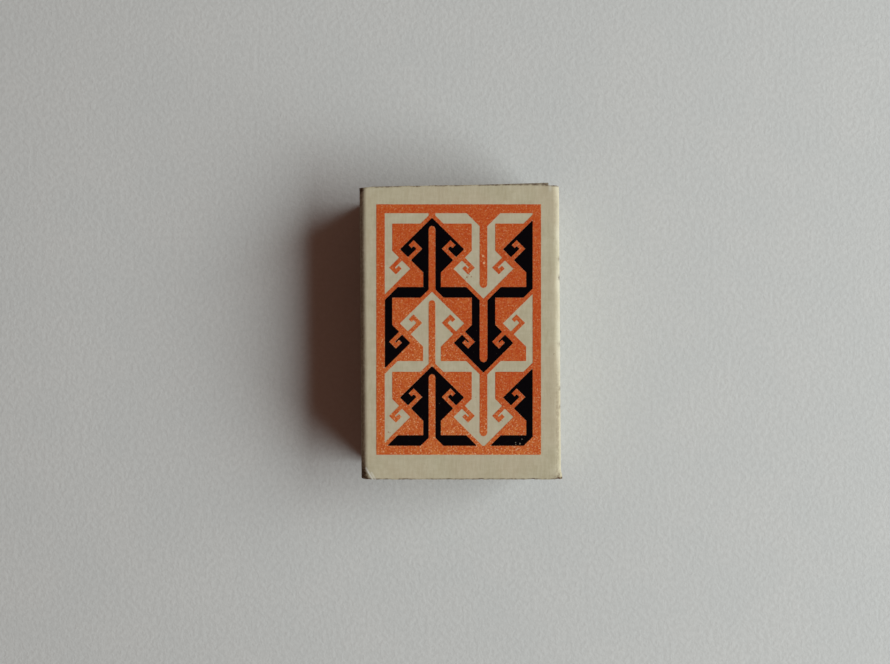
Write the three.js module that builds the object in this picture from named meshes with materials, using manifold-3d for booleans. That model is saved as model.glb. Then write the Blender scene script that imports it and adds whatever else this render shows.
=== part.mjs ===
// A pocket matchbox, closed and lying on its underside, in millimetres.
// X runs across the box, Y along it, Z up. The origin is the middle of the sleeve's underside.
// The sleeve is one strip of card folded round and glued up one side. The tray is one folded blank.
// The print on the top panel is thin fields of ink: an orange ground and frame, and black figures.
// Its cream figures are bare card, left out of the orange.
import * as THREE from 'three';
import { mergeVertices } from 'three/addons/utils/BufferGeometryUtils.js';
import Module from 'manifold-3d';

const wasm = await Module();
wasm.setup();

// Sleeve
const SLEEVE_WIDTH = 35;
const SLEEVE_LENGTH = 51;
const SLEEVE_HEIGHT = 14.5;
const SLEEVE_CARD = 0.45;
const SLEEVE_FOLD_RADIUS = 0.85; // on the inside of the fold
const LAP_EDGE_LIFT = 0.2; // from the end of the lower fold up to the cut edge of the lapping panel
const GLUE_FLAP_SHORTFALL = 1.4; // from the top panel's underside down to the glue flap's edge

// Striking coat, on the left side only
const COAT_THICKNESS = 0.08;
const COAT_MARGIN = 0.25; // bare card between the coat and the folds above and below it

// Tray
const TRAY_CARD = 0.4;
const SLIDE_CLEARANCE = 0.2; // beside and below the tray
const TRAY_RIM_CLEARANCE = 0.2; // from the tray's rim up to where the sleeve's upper folds begin
const TRAY_SHORTFALL = 0.2; // how much shorter than the sleeve the tray is
const TRAY_PUSH = 0.4; // how far the tray is pushed along the sleeve
const LAYER_GAP = 0.08; // air between the layers of an end wall
const CORNER_TAB_LENGTH = 9;
const END_FLAP_LIFT = 0.3; // from the tray's floor up to the edge of an end's inner flap

// Matches
const SPLINT_WIDTH = 2.1;
const MATCH_END_SPACE = 4.8; // how much shorter than the inside of the tray a match is
const HEAD_WIDTH = 2.8;
const HEAD_LENGTH = 4.6;
const HEAD_GAP = 0.25; // between heads side by side
const HEAD_NEST_GAP = 0.1; // between heads of one layer and the next
const SPLINT_GAP = 0.3; // the least space between splints that lie askew
const MATCH_SHIFT = 0.8; // how far a match lies out of line along the box
const LAYERS_USED = 1; // the box is part-used: this many layers are gone from the top

// Print
const INK_THICKNESS = 0.05;
const REGISTER_GAP = 0.09; // bare card between the black and the orange
const PRINT_LEFT_MARGIN = 2.9; // bare card between the print and the sleeve's edge, here and below
const PRINT_RIGHT_MARGIN = 3.5;
const PRINT_TOP_MARGIN = 3.2;
const PRINT_BOTTOM_MARGIN = 4.3;
const FRAME_SIDE_BAND = 1.44;
const FRAME_END_BAND = 1.53;

// Ornament: upright and hanging arrows in columns by turns, linked by bars into bands one above another
const COLUMN_PITCH = 8.95;
const ROW_PITCH = 12.88;
const UP_COLUMN_INSET = 8.22; // from the frame's inner left side to the first upright column
const UP_TIP_INSET = 0.77; // from the frame's inner top to the first upright tip
const DOWN_TIP_DROP = 1.22; // how far a hanging tip passes the level of the upright tips beside it
const OUTLINE_GAP = 0.65; // orange line along an arrowhead
const BAR_DROP = 12.04; // from an upright tip to the bar of its own band
const BAR_THICKNESS = 1.89;
const HOOK_WIDTH = 0.68;

// Each arrow is measured from its tip: half widths across, levels along
const UP_ARROW = {
  headHalf: 5.6,
  headLevel: 5.5,
  stemHalf: 1.55,
  slotHalf: 0.57,
  slotLevel: 1.45,
  hookHalf: 2.21,
  hookLevel: 5.42,
  hookRise: 0.99,
  hookCurl: 0.6,
};
const DOWN_ARROW = {
  headHalf: 5.2,
  headLevel: 5.2,
  stemHalf: 2.05,
  slotHalf: 0.66,
  slotLevel: 1.85,
  hookHalf: 2,
  hookLevel: 5.41,
  hookRise: 0.68,
  hookCurl: 0.75,
};

// Fineness of the round forms
const FOLD_STEPS = 6;
const RIM_FOLD_STEPS = 8;
const HEAD_SIDES = 10;
const SLOT_END_STEPS = 4;

// Each plane's own two directions and the direction that a shape drawn in it is drawn out along
const FLAT = new THREE.Matrix4();
const ACROSS = new THREE.Matrix4().makeBasis(
  new THREE.Vector3(1, 0, 0),
  new THREE.Vector3(0, 0, 1),
  new THREE.Vector3(0, -1, 0),
);
const ALONG = new THREE.Matrix4().makeBasis(
  new THREE.Vector3(0, 1, 0),
  new THREE.Vector3(0, 0, 1),
  new THREE.Vector3(1, 0, 0),
);

function arc(centreX, centreY, radius, fromDeg, toDeg, steps) {
  const points = [];
  for (let i = 0; i <= steps; i += 1) {
    const angle = THREE.MathUtils.degToRad(fromDeg + ((toDeg - fromDeg) * i) / steps);
    points.push([centreX + radius * Math.cos(angle), centreY + radius * Math.sin(angle)]);
  }
  return points;
}

function toPath(Kind, points) {
  return new Kind(points.map(([x, y]) => new THREE.Vector2(x, y)));
}

// A shape drawn out both ways from the middle of its plane
function drawOut(points, depth, plane, hole = null) {
  const shape = toPath(THREE.Shape, points);
  if (hole) {
    shape.holes.push(toPath(THREE.Path, hole));
  }
  const geometry = new THREE.ExtrudeGeometry(shape, { depth, bevelEnabled: false });
  geometry.translate(0, 0, -depth / 2);
  geometry.applyMatrix4(plane);
  return geometry;
}

// Triangles that shrink to a line at a turned shape's poles are left out
function toSolid(geometry) {
  const bare = geometry.clone();
  bare.deleteAttribute('normal');
  bare.deleteAttribute('uv');
  const merged = mergeVertices(bare);
  const corners = merged.index.array;
  const triVerts = [];
  for (let i = 0; i < corners.length; i += 3) {
    const triangle = [corners[i], corners[i + 1], corners[i + 2]];
    if (new Set(triangle).size === 3) {
      triVerts.push(...triangle);
    }
  }
  return new wasm.Manifold(
    new wasm.Mesh({
      numProp: 3,
      vertProperties: new Float32Array(merged.attributes.position.array),
      triVerts: new Uint32Array(triVerts),
    }),
  );
}

function toGeometry(solid) {
  const { vertProperties, triVerts } = solid.getMesh();
  const geometry = new THREE.BufferGeometry();
  geometry.setAttribute('position', new THREE.BufferAttribute(vertProperties, 3));
  geometry.setIndex(new THREE.BufferAttribute(triVerts, 1));
  geometry.computeVertexNormals();
  return geometry;
}

function join(solids) {
  return solids.reduce((whole, solid) => whole.add(solid));
}

const MATERIALS = {
  sleeve_card: new THREE.MeshStandardMaterial({ color: 0xb9ae96, roughness: 0.85, metalness: 0 }),
  tray_card: new THREE.MeshStandardMaterial({ color: 0xa99f8b, roughness: 0.9, metalness: 0 }),
  striking_coat: new THREE.MeshStandardMaterial({ color: 0x4a3228, roughness: 0.95, metalness: 0 }),
  orange_ink: new THREE.MeshStandardMaterial({ color: 0xd2622c, roughness: 0.7, metalness: 0 }),
  black_ink: new THREE.MeshStandardMaterial({ color: 0x15110f, roughness: 0.65, metalness: 0 }),
  match_wood: new THREE.MeshStandardMaterial({ color: 0xd9bd8b, roughness: 0.8, metalness: 0 }),
};

const box = new THREE.Group();

function place(name, geometry, material, parent = box) {
  const mesh = new THREE.Mesh(geometry, MATERIALS[material].clone());
  mesh.name = name;
  parent.add(mesh);
  return mesh;
}

// Sleeve: the glue flap rises inside the right side panel, so that side is two layers thick
const sleeveRight = SLEEVE_WIDTH / 2;
const sleeveLeft = -sleeveRight;
const outerFold = SLEEVE_FOLD_RADIUS + SLEEVE_CARD;
const upperFoldLevel = SLEEVE_HEIGHT - outerFold;
const lapEdgeLevel = outerFold + LAP_EDGE_LIFT;
const flapFace = sleeveRight - SLEEVE_CARD;
const flapEdgeLevel = SLEEVE_HEIGHT - SLEEVE_CARD - GLUE_FLAP_SHORTFALL;

function sleeveSkin(inset) {
  const radius = outerFold - inset;
  return {
    lowerLeft: arc(sleeveLeft + outerFold, outerFold, radius, 180, 270, FOLD_STEPS),
    lowerRight: arc(flapFace - outerFold, outerFold, radius, 270, 360, FOLD_STEPS),
    upperRight: arc(sleeveRight - outerFold, upperFoldLevel, radius, 0, 90, FOLD_STEPS),
    upperLeft: arc(sleeveLeft + outerFold, upperFoldLevel, radius, 90, 180, FOLD_STEPS),
  };
}

function sleeve() {
  const outside = sleeveSkin(0);
  const inside = sleeveSkin(SLEEVE_CARD);
  const outline = [
    ...outside.lowerLeft,
    ...outside.lowerRight,
    [flapFace, lapEdgeLevel],
    [sleeveRight, lapEdgeLevel],
    ...outside.upperRight,
    ...outside.upperLeft,
  ];
  const hollow = [
    ...inside.lowerLeft,
    ...inside.lowerRight,
    [flapFace - SLEEVE_CARD, flapEdgeLevel],
    [flapFace, flapEdgeLevel],
    ...inside.upperRight,
    ...inside.upperLeft,
  ];
  place('sleeve', drawOut(outline, SLEEVE_LENGTH, ACROSS, hollow), 'sleeve_card');
}

function strikingCoat() {
  const top = upperFoldLevel - COAT_MARGIN;
  const bottom = outerFold + COAT_MARGIN;
  const geometry = new THREE.BoxGeometry(COAT_THICKNESS, SLEEVE_LENGTH, top - bottom);
  const mesh = place('striking_coat', geometry, 'striking_coat');
  mesh.position.set(sleeveLeft - COAT_THICKNESS / 2, 0, (top + bottom) / 2);
}

// Tray: its floor, sides and ends turn up from one blank. At each end the corner tabs lie behind the
// end panel, and the panel's top folds over them and down the inside
const trayWidth = SLEEVE_WIDTH - 3 * SLEEVE_CARD - 2 * SLIDE_CLEARANCE;
const trayMiddle = -SLEEVE_CARD / 2;
const trayLength = SLEEVE_LENGTH - TRAY_SHORTFALL;
const trayEnd = trayLength / 2;
const trayBottom = SLEEVE_CARD + SLIDE_CLEARANCE;
const trayFloor = trayBottom + TRAY_CARD;
const trayRim = upperFoldLevel - TRAY_RIM_CLEARANCE;
const trayFold = SLEEVE_FOLD_RADIUS;
const endWall = 3 * TRAY_CARD + 2 * LAYER_GAP;
const rimFold = endWall / 2;
const tabFace = trayEnd - TRAY_CARD - LAYER_GAP;

function trayTrough() {
  const side = trayWidth / 2;
  const centre = side - trayFold;
  const level = trayBottom + trayFold;
  const inner = trayFold - TRAY_CARD;
  const outline = [
    ...arc(-centre, level, trayFold, 180, 270, FOLD_STEPS),
    ...arc(centre, level, trayFold, 270, 360, FOLD_STEPS),
    [side, trayRim],
    [side - TRAY_CARD, trayRim],
    ...arc(centre, level, inner, 360, 270, FOLD_STEPS),
    ...arc(-centre, level, inner, 270, 180, FOLD_STEPS),
    [TRAY_CARD - side, trayRim],
    [-side, trayRim],
  ];
  return toSolid(drawOut(outline, 2 * (tabFace - trayFold), ACROSS));
}

function cornerTab(sideways, lengthways) {
  const side = trayWidth / 2;
  const tabTop = trayRim - rimFold - LAYER_GAP;
  const tabBottom = trayFloor + END_FLAP_LIFT;
  const rootOverlap = 2 * trayFold;
  const centreX = side - trayFold;
  const centreY = tabFace - trayFold;
  const inner = trayFold - TRAY_CARD;
  const outline = [
    [side, centreY - rootOverlap],
    ...arc(centreX, centreY, trayFold, 0, 90, FOLD_STEPS),
    [side - CORNER_TAB_LENGTH, tabFace],
    [side - CORNER_TAB_LENGTH, tabFace - TRAY_CARD],
    ...arc(centreX, centreY, inner, 90, 0, FOLD_STEPS),
    [side - TRAY_CARD, centreY - rootOverlap],
  ].map(([x, y]) => [x * sideways, y * lengthways]);
  const geometry = drawOut(outline, tabTop - tabBottom, FLAT);
  geometry.translate(0, 0, (tabTop + tabBottom) / 2);
  return toSolid(geometry);
}

function trayEndWall(lengthways) {
  const centre = trayEnd - trayFold;
  const level = trayBottom + trayFold;
  const inner = trayFold - TRAY_CARD;
  const rimCentre = trayEnd - rimFold;
  const rimLevel = trayRim - rimFold;
  const flapEdge = trayFloor + END_FLAP_LIFT;
  const floorOverlap = 2 * trayFold;
  const outline = [
    [centre - floorOverlap, trayBottom],
    ...arc(centre, level, trayFold, 270, 360, FOLD_STEPS),
    ...arc(rimCentre, rimLevel, rimFold, 0, 180, RIM_FOLD_STEPS),
    [trayEnd - endWall, flapEdge],
    [trayEnd - endWall + TRAY_CARD, flapEdge],
    ...arc(rimCentre, rimLevel, rimFold - TRAY_CARD, 180, 0, RIM_FOLD_STEPS),
    ...arc(centre, level, inner, 360, 270, FOLD_STEPS),
    [centre - floorOverlap, trayFloor],
  ].map(([y, z]) => [y * lengthways, z]);
  return toSolid(drawOut(outline, trayWidth - 2 * trayFold, ALONG));
}

const tray = new THREE.Group();
tray.position.set(trayMiddle, TRAY_PUSH, 0);
box.add(tray);

function trayCard() {
  const parts = [trayTrough(), trayEndWall(1), trayEndWall(-1)];
  for (const sideways of [1, -1]) {
    parts.push(cornerTab(sideways, 1), cornerTab(sideways, -1));
  }
  place('tray', toGeometry(join(parts)), 'tray_card', tray);
}

// Matches: all heads at one end, each layer half a pitch aside so that its heads nest in the one below
const matchLength = trayLength - 2 * endWall - MATCH_END_SPACE;
const matchPitch = HEAD_WIDTH + HEAD_GAP;
const layerPitch = Math.sqrt((HEAD_WIDTH + HEAD_NEST_GAP) ** 2 - (matchPitch / 2) ** 2);
const tailSwing = (matchPitch - SPLINT_WIDTH - SPLINT_GAP) / 2;

// A fixed, scattered value from -1 to 1 for each whole number
function scatter(number) {
  const wave = Math.sin(number * 12.9898) * 43758.5453;
  return 2 * (wave - Math.floor(wave)) - 1;
}

// A match lies along Y with the middle of its head at the origin
function matchGeometry() {
  const headRadius = HEAD_WIDTH / 2;
  const tip = HEAD_LENGTH / 2;
  const neck = SPLINT_WIDTH / 2;
  const profile = [
    [0, -tip],
    [neck, -tip],
    [0.95 * headRadius, -0.45 * tip],
    [headRadius, 0.1 * tip],
    [0.9 * headRadius, 0.6 * tip],
    [0.5 * headRadius, 0.93 * tip],
    [0, tip],
  ].map(([radius, along]) => new THREE.Vector2(radius, along));
  const head = toSolid(new THREE.LatheGeometry(profile, HEAD_SIDES));
  const splintLength = matchLength - tip;
  const splint = new THREE.BoxGeometry(SPLINT_WIDTH, splintLength, SPLINT_WIDTH);
  splint.translate(0, -splintLength / 2, 0);
  return toGeometry(head.add(toSolid(splint)));
}

function matches() {
  const geometry = matchGeometry();
  const insideWidth = trayWidth - 2 * TRAY_CARD - 2 * HEAD_GAP;
  const perLayer = Math.floor((insideWidth - HEAD_WIDTH - matchPitch / 2) / matchPitch) + 1;
  const stackHeight = trayRim - trayFloor - HEAD_WIDTH - HEAD_NEST_GAP;
  const layers = Math.floor(stackHeight / layerPitch) + 1 - LAYERS_USED;
  const headCentre = (matchLength - HEAD_LENGTH) / 2;
  let number = 0;
  for (let layer = 0; layer < layers; layer += 1) {
    const aside = (layer % 2 === 0 ? -1 : 1) * (matchPitch / 4);
    for (let column = 0; column < perLayer; column += 1) {
      number += 1;
      const mesh = place(`match_${String(number).padStart(2, '0')}`, geometry, 'match_wood', tray);
      mesh.position.set(
        (column - (perLayer - 1) / 2) * matchPitch + aside,
        headCentre + MATCH_SHIFT * scatter(number),
        trayFloor + HEAD_WIDTH / 2 + HEAD_NEST_GAP + layer * layerPitch,
      );
      mesh.rotation.z = Math.asin((tailSwing * scatter(number + 0.5)) / matchLength);
    }
  }
}

// Print: everything is drawn flat, then drawn out to the ink's thickness. A shape that knocks out another
// reaches beyond it above and below
const KNOCK_OUT_THICKNESS = 3 * INK_THICKNESS;
const frameLeft = sleeveLeft + PRINT_LEFT_MARGIN;
const frameRight = sleeveRight - PRINT_RIGHT_MARGIN;
const frameBottom = PRINT_BOTTOM_MARGIN - SLEEVE_LENGTH / 2;
const frameTop = SLEEVE_LENGTH / 2 - PRINT_TOP_MARGIN;
const windowLeft = frameLeft + FRAME_SIDE_BAND;
const windowRight = frameRight - FRAME_SIDE_BAND;
const windowBottom = frameBottom + FRAME_END_BAND;
const windowTop = frameTop - FRAME_END_BAND;

function inkSolid(points, thickness = INK_THICKNESS) {
  const geometry = drawOut(points, thickness, FLAT);
  geometry.translate(0, 0, SLEEVE_HEIGHT + INK_THICKNESS / 2);
  return toSolid(geometry);
}

function knockOut(points) {
  return inkSolid(points, KNOCK_OUT_THICKNESS);
}

function rectangle(left, right, bottom, top) {
  return [[left, bottom], [right, bottom], [right, top], [left, top]];
}

// An outline with every side moved outwards, or inwards where the distance is negative
function grown(points, distance) {
  const turning = THREE.ShapeUtils.area(points.map(([x, y]) => new THREE.Vector2(x, y)));
  const out = Math.sign(turning) * distance;
  return points.map(([x, y], i) => {
    const [beforeX, beforeY] = points[(i + points.length - 1) % points.length];
    const [afterX, afterY] = points[(i + 1) % points.length];
    const arriving = new THREE.Vector2(x - beforeX, y - beforeY).normalize();
    const leaving = new THREE.Vector2(afterX - x, afterY - y).normalize();
    const share = out / (1 + arriving.dot(leaving));
    return [x + share * (arriving.y + leaving.y), y - share * (arriving.x + leaving.x)];
  });
}

// A bent line of even width, its corners mitred and its ends square
function stroke(points, halfWidth) {
  const left = [];
  const right = [];
  points.forEach(([x, y], i) => {
    const [beforeX, beforeY] = points[Math.max(i - 1, 0)];
    const [afterX, afterY] = points[Math.min(i + 1, points.length - 1)];
    const arriving = new THREE.Vector2(x - beforeX, y - beforeY).normalize();
    const leaving = new THREE.Vector2(afterX - x, afterY - y).normalize();
    const spread = 1 + arriving.dot(leaving);
    const acrossX = ((arriving.y + leaving.y) * halfWidth) / spread;
    const acrossY = ((arriving.x + leaving.x) * halfWidth) / spread;
    left.push([x + acrossX, y - acrossY]);
    right.unshift([x - acrossX, y + acrossY]);
  });
  return [...left, ...right];
}

// Puts a shape measured from an arrow's tip at that tip: the second value runs down the arrow's length
function fromTip({ tipX, tipY, pointing }, points) {
  return points.map(([across, level]) => [tipX + across, tipY - pointing * level]);
}

function headOutline(arrow) {
  const backLevel = arrow.headLevel + arrow.headHalf - arrow.stemHalf;
  return [
    [0, 0],
    [arrow.headHalf, arrow.headLevel],
    [arrow.stemHalf, backLevel],
    [-arrow.stemHalf, backLevel],
    [-arrow.headHalf, arrow.headLevel],
  ];
}

function slotOutline(arrow, endLevel) {
  return [
    ...arc(0, arrow.slotLevel + arrow.slotHalf, arrow.slotHalf, 180, 360, SLOT_END_STEPS),
    [arrow.slotHalf, endLevel],
    [-arrow.slotHalf, endLevel],
  ];
}

// The hooked channel runs in from the back of the head, turns outwards and curls back on itself
function hookLine(arrow, side) {
  const { hookHalf, hookLevel, hookRise, hookCurl } = arrow;
  const mouthRun = (arrow.headHalf + arrow.headLevel - hookHalf - hookLevel) / 2 + HOOK_WIDTH;
  return [
    [hookHalf + mouthRun, hookLevel + mouthRun],
    [hookHalf, hookLevel],
    [hookHalf + hookRise, hookLevel - hookRise],
    [hookHalf + hookRise + hookCurl, hookLevel - hookRise + hookCurl],
  ].map(([across, level]) => [side * across, level]);
}

// Bands go on down the print for as long as the upright heads show down to their widest
const lastHeadRoom = windowTop - windowBottom - UP_TIP_INSET - UP_ARROW.headLevel;
const bandCount = Math.floor(lastHeadRoom / ROW_PITCH) + 2;

// An arrow whose middle falls outside the frame's window shows no slot
function inWindow({ tipX }) {
  return tipX > windowLeft && tipX < windowRight;
}

// Tips of one band's arrows, with a column to spare beyond each side of the frame's window
function bandTips(band) {
  const upTipY = windowTop - UP_TIP_INSET - (band - 1) * ROW_PITCH;
  const downTipY = upTipY - 2 * ROW_PITCH - DOWN_TIP_DROP;
  const upTips = [];
  const downTips = [];
  const first = windowLeft + UP_COLUMN_INSET - 2 * COLUMN_PITCH;
  for (let tipX = first; tipX < windowRight + 2 * COLUMN_PITCH; tipX += 2 * COLUMN_PITCH) {
    upTips.push({ tipX, tipY: upTipY, pointing: 1 });
    downTips.push({ tipX: tipX + COLUMN_PITCH, tipY: downTipY, pointing: -1 });
  }
  return { upTips, downTips, upTipY, downTipY };
}

// One band, cut to the frame's window, with the trim taken off every edge. The heads of the bands above
// and below shape its bars, also where those bands aren't drawn, but the first bar keeps its square corner
function bandSolid(band, trim) {
  const { upTips, downTips, upTipY, downTipY } = bandTips(band);
  const barTop = upTipY - BAR_DROP;
  const barBottom = barTop - BAR_THICKNESS;
  const wanted = [];
  const unwanted = [];
  const firstTip = upTips[0].tipX;
  const lastTip = downTips[downTips.length - 1].tipX;
  wanted.push(rectangle(firstTip, lastTip, barBottom, barTop));
  const arrows = [
    ...upTips.map((tip) => ({ tip, arrow: UP_ARROW, length: upTipY - barBottom })),
    ...downTips.map((tip) => ({ tip, arrow: DOWN_ARROW, length: barTop - downTipY })),
  ];
  for (const { tip, arrow, length } of arrows) {
    const stemStart = arrow.headLevel;
    const slotEnd = length + BAR_THICKNESS;
    wanted.push(fromTip(tip, headOutline(arrow)));
    wanted.push(fromTip(tip, rectangle(-arrow.stemHalf, arrow.stemHalf, stemStart, length)));
    if (inWindow(tip)) {
      unwanted.push(fromTip(tip, slotOutline(arrow, slotEnd)));
    }
    for (const side of [1, -1]) {
      unwanted.push(fromTip(tip, stroke(hookLine(arrow, side), HOOK_WIDTH / 2)));
    }
  }
  for (const tip of bandTips(band + 1).upTips) {
    unwanted.push(grown(fromTip(tip, headOutline(UP_ARROW)), OUTLINE_GAP));
  }
  for (const tip of bandTips(band - 1).downTips) {
    if (band > 0 || inWindow(tip)) {
      unwanted.push(grown(fromTip(tip, headOutline(DOWN_ARROW)), OUTLINE_GAP));
    }
  }
  const window = rectangle(windowLeft, windowRight, windowBottom, windowTop);
  const figure = join(wanted.map((points) => inkSolid(grown(points, -trim))));
  const cut = join(unwanted.map((points) => knockOut(grown(points, trim))));
  return figure.subtract(cut).intersect(knockOut(grown(window, -trim)));
}

// Bands are black and bare by turns, starting with a bare one at the top. The black figures are numbered
// from the largest down
function print() {
  let orange = inkSolid(rectangle(frameLeft, frameRight, frameBottom, frameTop));
  const figures = [];
  for (let band = 0; band < bandCount; band += 1) {
    orange = orange.subtract(bandSolid(band, 0));
    if (band % 2 === 1) {
      figures.push(...bandSolid(band, REGISTER_GAP).decompose());
    }
  }
  place('print_orange', toGeometry(orange), 'orange_ink');
  figures.sort((one, other) => other.volume() - one.volume());
  figures.forEach((figure, i) => {
    place(`print_black_${i + 1}`, toGeometry(figure), 'black_ink');
  });
}

sleeve();
strikingCoat();
trayCard();
matches();
print();

export default box;
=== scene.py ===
"""A used pocket matchbox lying on pale paper, seen from straight above."""
import math

import bmesh
import bpy
import numpy as np
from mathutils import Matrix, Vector, noise


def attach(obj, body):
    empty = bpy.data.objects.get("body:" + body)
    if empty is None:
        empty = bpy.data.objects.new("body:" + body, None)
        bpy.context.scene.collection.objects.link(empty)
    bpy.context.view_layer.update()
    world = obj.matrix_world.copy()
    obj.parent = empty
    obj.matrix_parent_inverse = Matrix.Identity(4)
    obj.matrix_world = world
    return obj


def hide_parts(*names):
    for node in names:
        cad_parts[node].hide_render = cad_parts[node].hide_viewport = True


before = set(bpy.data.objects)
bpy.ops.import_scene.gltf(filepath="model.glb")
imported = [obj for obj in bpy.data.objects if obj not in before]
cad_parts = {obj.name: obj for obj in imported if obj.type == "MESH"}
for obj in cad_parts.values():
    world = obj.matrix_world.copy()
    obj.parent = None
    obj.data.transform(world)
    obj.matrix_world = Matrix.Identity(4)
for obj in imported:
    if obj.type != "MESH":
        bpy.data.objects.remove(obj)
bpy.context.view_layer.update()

MM = 0.001

# Sleeve, in millimetres
SLEEVE_WIDTH = 35
SLEEVE_LENGTH = 51
SLEEVE_HEIGHT = 14.5
SLEEVE_CARD = 0.45
SLEEVE_FOLD = 1.3  # outside radius
LAP_EDGE_LEVEL = 1.5  # cut edge of the lapping right side
GLUE_FLAP_LEVEL = 12.65  # cut edge of the glue flap inside it
GLUE_LINE = 0.02  # air between the two layers of the lap
LEAN = 0.17  # how far each end is pushed sideways out of square
SIDE_BOW = 0.1
RAGGED_CUT = 0.045
CORNER_CRUSH = 0.05
SQUARE_CORNER_SHARE = 0.1  # of that crush, at the top's lower corners
FLARE = 0.3  # lower right corner, outwards
STICK_OUT = 0.16  # upper left corner, outwards
BEND = 0.16  # lower left corner, down for each millimetre past its crease
TOP_WAVE = 0.018  # unevenness of the board
SIDE_WAVE = 0.012

# How far the top panel's upper end stands beyond or short of square, read across the box
TOP_END_X = [-17.5, -15.7, -10.5, 0, 5, 10, 13.8, 15.8, 17.5]
TOP_END_Y = [-0.30, -0.20, 0.0, 0.15, 0.24, 0.28, 0.24, 0.14, 0.1]
# Nicks in the lower cut edge: place across, width and depth
NICKS = [(12.3, 0.35, 0.16), (13.0, 0.25, 0.12), (-6.2, 0.3, 0.06), (3.5, 0.4, 0.05), (16.6, 0.5, 0.12)]
# The bent lower left corner: the crease runs from one point to the other
CREASE = (np.array([-16.5, -23.7]), np.array([-15.4, -25.5]))
# Rubbed corners: place across and along, and spread across and along
LOW_LEFT_RUB = ((-17.0, -25.2), (0.9, 1.5))
LOW_RIGHT_RUB = ((17.1, -25.3), (1.2, 0.7))
TOP_LEFT_RUB = ((-17.3, 25.3), (0.6, 0.5))
# Flecks on the right fold: place along it and darkness
FLECKS = [(12.9, 0.7), (9.55, 1.6), (-2.1, 0.8), (-9.7, 0.6), (-13, 0.6)]
FLECK_LINE = 17.35
FLECK_SIZE = (0.25, 0.28)

# Striking coat, on the left side only
COAT = 0.05
COAT_MARGIN = 0.25
COAT_EDGE_WANDER = 0.09
COAT_ROWS = 34
COAT_BED = 0.01  # air between the coat and the card, so that the two don't share a face
COAT_GRIT = 0.008

# Tray
TRAY_CARD = 0.4
TRAY_WIDTH = 33.25
TRAY_LENGTH = 50.8
TRAY_MIDDLE = -0.225
TRAY_PUSH = 0.4
TRAY_BOTTOM = 0.65
TRAY_RIM = 13
TRAY_FOLD = 0.85
TRAY_LAYER_GAP = 0.08
TRAY_TAB = 9
TRAY_FLAP_EDGE = 1.35
TRAY_END = 3 * TRAY_CARD + 2 * TRAY_LAYER_GAP  # an end's thickness: wall, corner tab and flap
TRAY_TAB_TOP = TRAY_RIM - TRAY_END / 2 - TRAY_LAYER_GAP
TRAY_WALL_WAVE = 0.05
# How far the tray's upper end bulges, read across the box
TRAY_BULGE_X = [-16, -10, 0, 5, 10, 16]
TRAY_BULGE_Y = [0.05, 0.15, 0.32, 0.42, 0.58, 0.76]

# Print
INK = 0.02
BLACK_OVER_ORANGE = 0.006
BLACK_SQUEEZE = 0.07  # how far the black is squeezed out past its plate
ORANGE_SQUEEZE = 0.01
BLACK_SHIFT = 0.02  # the black is printed a little to the right
INK_EDGE_STEP = 0.13
INK_EDGE_ROUGHNESS = 0.07
INK_EDGE_GRAIN = 0.35
INK_PROBE = 0.03  # how far beside an outline the tree looks for the field

# Small faults in the print: place across, place along and radius
ORANGE_PINHOLES = [(3.93, 13.33, 0.2), (4.1, 12.1, 0.22), (9.9, 12.7, 0.1), (-11.3, -8.2, 0.12)]
BLACK_PINHOLES = [(10.34, -19.29, 0.14), (9.59, -19.1, 0.09), (9.62, -19.45, 0.08), (10.69, -18.5, 0.09)]
STRAY_INK = [
    (1.15, 9.7, 0.22), (1.45, 10.15, 0.2), (1.85, 9.75, 0.16), (0.8, 9.3, 0.14),
    (-12.5, -17.3, 0.13), (-12.2, -17.45, 0.12),
]

# Matches
SPLINT = 2.1
HEAD_WIDTH = 2.8
HEAD_LENGTH = 4.6
HEAD_SIDES = 18
# Outline of a head, from the splint to the tip: place along it and width, as shares of half of each
HEAD_OUTLINE = [
    (-1.1, 0.62), (-0.98, 0.78), (-0.75, 0.88), (-0.45, 0.96), (-0.1, 1.0), (0.2, 0.98), (0.48, 0.88),
    (0.7, 0.72), (0.86, 0.5), (0.96, 0.26),
]
SPLINT_WORN_EDGE = 0.09
SPLINT_TAIL_SHARE = 0.96  # width of its cut tail
LUMP_HEIGHT = 0.1
LUMP_WIDTH = 1.3
SHADE_SEED = 4

# The photograph's view: from straight above, through a wide lens
CAMERA_X = -2.68
CAMERA_Y = 0.12
CAMERA_HEIGHT = 130.5
CAMERA_LENS = 27
CAMERA_SENSOR = 36  # full frame

# The paper under the box: from its middle to its edges, and how far below the box its face lies
PAPER_REACH = 3000
PAPER_LEVEL = -0.05

TOUCH = 1e-6  # points closer than this meet
SHARP_ANGLE = 35  # degrees


def linear(hex_colour):
    """An sRGB colour, such as #c0b090, as linear red, green, blue and alpha."""
    shades = [int(hex_colour[i : i + 2], 16) / 255 for i in (1, 3, 5)]
    bent = [s / 12.92 if s <= 0.04045 else ((s + 0.055) / 1.055) ** 2.4 for s in shades]
    return [*bent, 1.0]


def per_metre(size_mm):
    """The texture scale at which a pattern on Object coordinates repeats about every size_mm."""
    return 1 / (size_mm * MM)


def socket(sockets, key):
    """A socket by its identifier, or else by its name or place."""
    for candidate in sockets:
        if candidate.identifier == key:
            return candidate
    return sockets[key]


def add(tree, kind, inputs=None, **settings):
    """Adds a node with its settings. Each input is a value, or the output socket that feeds it."""
    node = tree.nodes.new(kind)
    for name, value in settings.items():
        setattr(node, name, value)
    for key, value in (inputs or {}).items():
        target = socket(node.inputs, key)
        if isinstance(value, bpy.types.NodeSocket):
            tree.links.new(value, target)
        else:
            target.default_value = value
    return node


def result(tree, kind, inputs=None, **settings):
    """Adds a node and gives its first output."""
    return add(tree, kind, inputs, **settings).outputs[0]


def calculate(tree, operation, first, second):
    """The output of one operation on two numbers."""
    return result(tree, "ShaderNodeMath", {0: first, 1: second}, operation=operation)


def times(tree, first, second):
    """The product of two numbers."""
    return calculate(tree, "MULTIPLY", first, second)


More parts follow.
